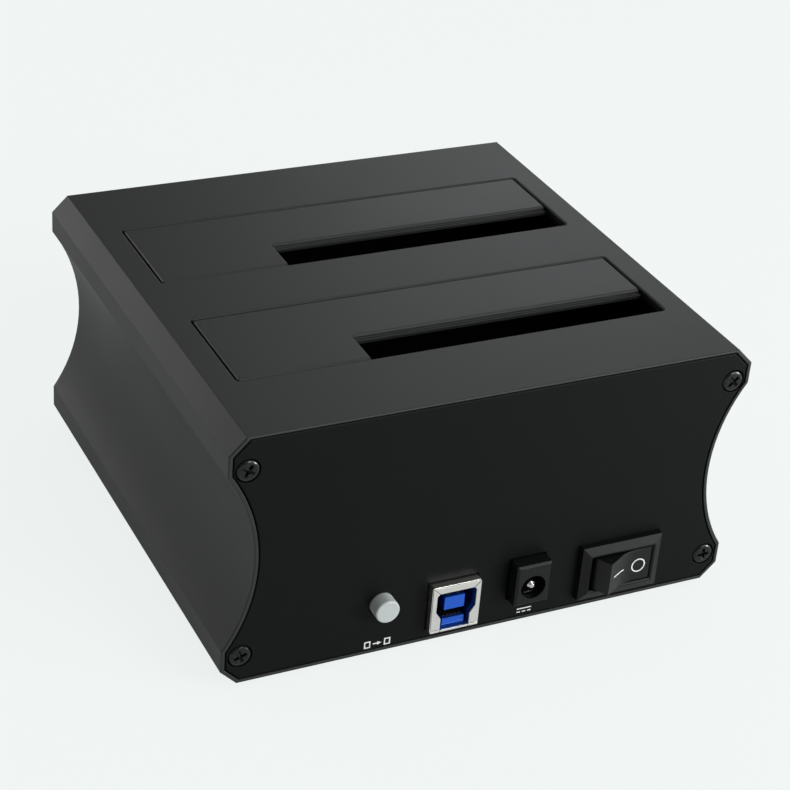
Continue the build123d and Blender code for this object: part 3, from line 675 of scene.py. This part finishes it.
class DOCK_OT_screws(bpy.types.Operator):
    """Makes the cross-recessed screws of both panels and of the base"""

    bl_idname = "dock.screws"
    bl_label = "Screws"

    def execute(self, context):
        oxide = black_screw()
        screw_set("port_screws", "port_panel_screws", 1, -1, 20, oxide)
        screw_set("front_screws", "front_panel_screws", 1, 1, 55, oxide)
        screw_set("floor_screws", "base_screws", 2, -1, 10, oxide)
        return {"FINISHED"}


class DOCK_OT_flaps(bpy.types.Operator):
    """Finishes the flaps, their pins and springs, and the guide below them"""

    bl_idname = "dock.flaps"
    bl_label = "Flaps and drive guide"

    def execute(self, context):
        hues = colours()
        dress(moulded("flap", hues.case, 0.44, 0.5), "near_flap", "far_flap")
        dress(moulded("inside", hues.inside, 0.75, 0.05, edge=0.0), "drive_guide")
        steel = metal("steel", (0.60, 0.60, 0.60), 0.30, stretch=(40, 1, 1))
        dress(steel, "near_flap_pin", "far_flap_pin", "board_screws")
        wire = metal("spring_steel", (0.52, 0.51, 0.50), 0.34, cell=0.1 * MM, edge=0.0)
        dress(wire, "near_flap_spring", "far_flap_spring")
        return {"FINISHED"}


class DOCK_OT_board(bpy.types.Operator):
    """Finishes the main board, its small parts and the drive connectors"""

    bl_idname = "dock.board"
    bl_label = "Board and connectors"

    def execute(self, context):
        dress(solder_mask(), "main_board")
        dress(moulded("chip", (0.020, 0.020, 0.021), 0.55, 0.4, edge=0.0), "bridge_chips")
        dress(metal("can", (0.70, 0.70, 0.72), 0.36), "capacitors")
        dress(moulded("coil", (0.07, 0.07, 0.075), 0.7, 0.3, 0.3 * MM, 0.02 * MM, 0.0), "power_coil")
        black = moulded("connector", (0.014, 0.014, 0.014), 0.42, 0.5, edge=0.1 * MM)
        dress(black, "near_drive_connector", "far_drive_connector", "start_switch")
        gold = metal("gold", (0.83, 0.62, 0.25), 0.24, cell=0.1 * MM, edge=0.0)
        dress(gold, "near_drive_contacts", "far_drive_contacts")
        return {"FINISHED"}


class DOCK_OT_start_button(bpy.types.Operator):
    """Finishes the start button and prints a generic copy mark below it"""

    bl_idname = "dock.start_button"
    bl_label = "Start button"

    def execute(self, context):
        dress(button_plastic(), "start_cap", "start_plunger")
        size = sizes()
        mesh = bmesh.new()
        rise = 1.9 * MM / 2
        half = 1.6 * MM / 2
        spread = 2.5 * MM
        for x in (-spread, spread):
            corners = bar_outline(x - half, x + half, -rise, rise)
            ring_of(mesh, [outline_face(mesh, corners)], size.stroke, size.ink)
        reach = 1.1 * MM
        bar = size.stroke / 2
        barb = 3 * bar
        plate(mesh, bar_outline(-reach, 0, -bar, bar), size.ink)
        plate(mesh, ((0, -barb), (reach, 0), (0, barb)), size.ink)
        left_of_cap = 0.45 * MM
        above_table = 4.35 * MM
        print_mark(mesh, "copy_mark", middle("start_cap").x - left_of_cap, above_table)
        return {"FINISHED"}


class DOCK_OT_host_socket(bpy.types.Operator):
    """Makes the host socket's folded shell round its keyed mouth"""

    bl_idname = "dock.host_socket"
    bl_label = "Host socket"

    def execute(self, context):
        dress(tongue_blue_painted_shade(), "usb_insulator")
        # The socket's contacts are gold painted dark, as painted shade deep in the socket.
        dress(metal("gold_painted_shade", (0.07, 0.055, 0.03), 0.5, cell=0.1 * MM, edge=0.0), "usb_contacts")
        low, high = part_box("usb_shell")
        half = (high.x - low.x) / 2
        height = 12.6 * MM
        mesh = bmesh.new()
        socket_tube(mesh, half, height, high.y - low.y)
        socket_flanges(mesh, half, height)
        socket_legs(mesh, half, height, high.z - low.z - height, high.y - low.y)
        move(mesh, facing_port(Vector(((low.x + high.x) / 2, low.y, low.z))))
        plated = metal("plate", colours().plate, 0.30, stretch=(1, 1, 12), cell=0.12 * MM, edge=0.05 * MM)
        piece = make_piece("host_socket_shell", mesh, plated, "base")
        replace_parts(piece, "usb_shell")
        return {"FINISHED"}


class DOCK_OT_power_inlet(bpy.types.Operator):
    """Finishes the power inlet and prints the direct current sign below it"""

    bl_idname = "dock.power_inlet"
    bl_label = "Power inlet"

    def execute(self, context):
        dress(moulded("inlet", colours().switch, 0.38, 0.3, edge=0.18 * MM), "dc_housing")
        dress(metal("bright_pin", (0.80, 0.80, 0.78), 0.22, stretch=(1, 30, 1), cell=0.1 * MM), "dc_pin")
        # The inlet's contacts are metal painted dark, as painted shade deep in the bore.
        dress(metal("leaf_painted_shade", (0.16, 0.16, 0.16), 0.4, stretch=(1, 30, 1), cell=0.1 * MM), "dc_contacts")
        size = sizes()
        half = 1.9 * MM
        bar = size.stroke * 0.45
        rise = 0.45 * MM
        mesh = bmesh.new()
        plate(mesh, bar_outline(-half, half, rise - bar, rise + bar), size.ink)
        dash = half / 2
        for number in range(3):
            left = -half + number * (half - dash / 2)
            plate(mesh, bar_outline(left, left + dash, -rise - bar, bar - rise), size.ink)
        right_of_inlet = 0.5 * MM
        above_table = 4.5 * MM
        print_mark(mesh, "direct_current_sign", middle("dc_housing").x + right_of_inlet, above_table)
        return {"FINISHED"}


class DOCK_OT_rocker_switch(bpy.types.Operator):
    """Finishes the rocker switch and prints its on and off marks"""

    bl_idname = "dock.rocker_switch"
    bl_label = "Rocker switch"

    def execute(self, context):
        hues = colours()
        dress(moulded("switch", hues.switch, 0.40, 0.25, edge=0.25 * MM), "switch_housing")
        dress(moulded("rocker", hues.rocker, 0.36, 0.32, edge=0.3 * MM), "switch_rocker")
        dress(metal("brass", (0.75, 0.58, 0.28), 0.3, stretch=(1, 20, 1)), "switch_terminals")
        dress(moulded("lead", (0.30, 0.012, 0.012), 0.5, 0.4, 0.5 * MM, 0.01 * MM, 0.0), "switch_leads")
        joint = next(joint for joint in frame["joints"] if joint["name"] == "rocker_tilt")
        pivot = Vector(joint["pos_m"])
        size = sizes()
        ring_place = 4.75 * MM
        dash_place = -1.5 * MM
        below_pivot = 0.2 * MM
        marks = bmesh.new()
        bmesh.ops.create_circle(marks, cap_ends=True, segments=48, radius=size.ring / 2)
        ring_of(marks, marks.faces[:], size.stroke, size.ink)
        move(marks, Matrix.Translation((ring_place, 0, 0)))
        dash = bmesh.new()
        bmesh.ops.create_grid(dash, x_segments=12, y_segments=1, size=0.5)
        bmesh.ops.scale(dash, verts=dash.verts, vec=(size.dash, size.stroke, 1))
        bmesh.ops.translate(dash, verts=dash.verts, vec=(dash_place, 0, 0))
        thicken(dash, dash.faces[:], size.ink)
        join(marks, dash)
        move(marks, facing_port(Vector((pivot.x, 0, pivot.z - below_pivot))))
        lay_on(marks, "switch_rocker")
        make_piece("rocker_marks", marks, ink(), "rocker")
        return {"FINISHED"}


class DOCK_OT_lights(bpy.types.Operator):
    """Finishes the light lenses of the far end and the lights behind them"""

    bl_idname = "dock.lights"
    bl_label = "Lights"

    def execute(self, context):
        dress(resin("lens", (0.72, 0.78, 0.84), 0.22), "light_lenses")
        dress(resin("light", (0.66, 0.74, 0.86), 0.12), "status_lights")
        return {"FINISHED"}


# Lamps, each with its place and width in metres, its power in watts and its colour
LAMPS = (
    ("front lamp", (0.9, -1.7, 1.1), 1.0, 20, (1, 1, 1)),
    ("top lamp", (0.1, 0.1, 1.9), 1.2, 5.5, (1, 1, 1)),
    ("back right lamp", (1.05, 1.50, 0.56), 0.7, 2.7, (0.96, 0.98, 1)),
    ("back left lamp", (-0.45, 0.75, 0.18), 0.35, 0.95, (1, 1, 1)),
    ("right lamp", (0.62, -0.50, 0.12), 0.20, 3.6, (0.94, 0.97, 1)),
)


class DOCK_OT_stage(bpy.types.Operator):
    """Makes the floor, the surrounding light, the lamps and the camera"""

    bl_idname = "dock.stage"
    bl_label = "Stage"

    def execute(self, context):
        scene = context.scene
        scene.view_settings.view_transform = "Standard"
        stage = scene.dock_stage
        self.floor(stage)
        self.surroundings(stage)
        for name, place, width, power, shade in LAMPS:
            self.lamp(name, place, width, power, shade)
        data = bpy.data.cameras.new("camera")
        data.lens = stage.lens
        data.sensor_width = 36
        camera = bpy.data.objects.new("camera", data)
        scene.collection.objects.link(camera)
        turn = Matrix.Rotation(-stage.azimuth, 4, "Z")
        tip = Matrix.Rotation(radians(90) - stage.elevation, 4, "X")
        roll = Matrix.Rotation(stage.roll, 4, "Z")
        camera.matrix_world = Matrix.Translation(stage.place) @ turn @ tip @ roll
        scene.camera = camera
        return {"FINISHED"}

    def floor(self, stage):
        """A wide pale floor, lit for the eye and for reflections as the background is."""
        half = 6
        stain = 0.4
        mesh = bmesh.new()
        bmesh.ops.create_grid(mesh, x_segments=1, y_segments=1, size=half)
        data = bpy.data.meshes.new("floor")
        mesh.to_mesh(data)
        mesh.free()
        finish = Finish("floor", {"Roughness": 0.9, "Specular IOR Level": 0.1})
        cloud = finish.noise(stain, 2)
        finish.wear(base_color=finish.shades(cloud, (0.8, 0.8, 0.8), 0.01))
        rays = finish.node("LightPath", {}, {}, "Is Camera Ray")
        glossy = finish.node("LightPath", {}, {}, "Is Glossy Ray")
        seen = rays + glossy * stage.sheen
        glow = finish.node("Emission", {}, {"Color": [*stage.backdrop, 1], "Strength": 1.0})
        shader = Wire(finish, finish.shader.outputs[0])
        both = finish.node("MixShader", {}, {0: seen * stage.glow, 1: shader, 2: glow})
        output = finish.tree.nodes["Material Output"]
        finish.tree.links.new(both.socket, output.inputs["Surface"])
        data.materials.append(finish.material)
        floor = bpy.data.objects.new("floor", data)
        bpy.context.scene.collection.objects.link(floor)

    def surroundings(self, stage):
        """Even light all round, with the backdrop's colour for the camera."""
        world = bpy.data.worlds.new("studio")
        world.use_nodes = True
        bpy.context.scene.world = world
        nodes = world.node_tree.nodes
        links = world.node_tree.links
        ground = nodes["Background"]
        ground.inputs["Color"].default_value = (1, 1, 1, 1)
        ground.inputs["Strength"].default_value = stage.daylight
        seen = nodes.new("ShaderNodeBackground")
        seen.inputs["Color"].default_value = (*stage.backdrop, 1)
        rays = nodes.new("ShaderNodeLightPath")
        both = nodes.new("ShaderNodeMixShader")
        links.new(rays.outputs["Is Camera Ray"], both.inputs[0])
        links.new(ground.outputs[0], both.inputs[1])
        links.new(seen.outputs[0], both.inputs[2])
        links.new(both.outputs[0], nodes["World Output"].inputs["Surface"])

    def lamp(self, name, place, width, power, shade):
        """A square soft lamp that looks at the object."""
        data = bpy.data.lights.new(name, "AREA")
        data.size = width
        data.energy = power
        data.color = shade
        lamp = bpy.data.objects.new(name, data)
        lamp.location = place
        lamp.rotation_euler = (-Vector(place)).to_track_quat("-Z", "Y").to_euler()
        bpy.context.scene.collection.objects.link(lamp)


PIECES = (
    DOCK_OT_case,
    DOCK_OT_screws,
    DOCK_OT_flaps,
    DOCK_OT_board,
    DOCK_OT_start_button,
    DOCK_OT_host_socket,
    DOCK_OT_power_inlet,
    DOCK_OT_rocker_switch,
    DOCK_OT_lights,
    DOCK_OT_stage,
)


class DOCK_PT_panel(bpy.types.Panel):
    """Lists the settings and the operators"""

    bl_label = "Drive Dock"
    bl_idname = "DOCK_PT_panel"
    bl_space_type = "VIEW_3D"
    bl_region_type = "UI"
    bl_category = "Drive Dock"

    def draw(self, context):
        layout = self.layout
        for settings in (context.scene.dock_sizes, context.scene.dock_colours, context.scene.dock_stage):
            box = layout.box()
            for name in settings.__annotations__:
                box.prop(settings, name)
        for piece in PIECES:
            layout.operator(piece.bl_idname)


SETTINGS = {
    "dock_sizes": DOCK_PG_sizes,
    "dock_colours": DOCK_PG_colours,
    "dock_stage": DOCK_PG_stage,
}


def register():
    """Registers the settings, the operators and the panel."""
    for name, group in SETTINGS.items():
        bpy.utils.register_class(group)
        setattr(bpy.types.Scene, name, PointerProperty(type=group))
    for piece in (*PIECES, DOCK_PT_panel):
        bpy.utils.register_class(piece)


def unregister():
    """Takes them out again."""
    for piece in (DOCK_PT_panel, *reversed(PIECES)):
        bpy.utils.unregister_class(piece)
    for name, group in SETTINGS.items():
        delattr(bpy.types.Scene, name)
        bpy.utils.unregister_class(group)


def main():
    """Makes every piece in turn."""
    register()
    for piece in PIECES:
        getattr(bpy.ops.dock, piece.bl_idname.partition(".")[2])()


if __name__ == "__main__":
    main()
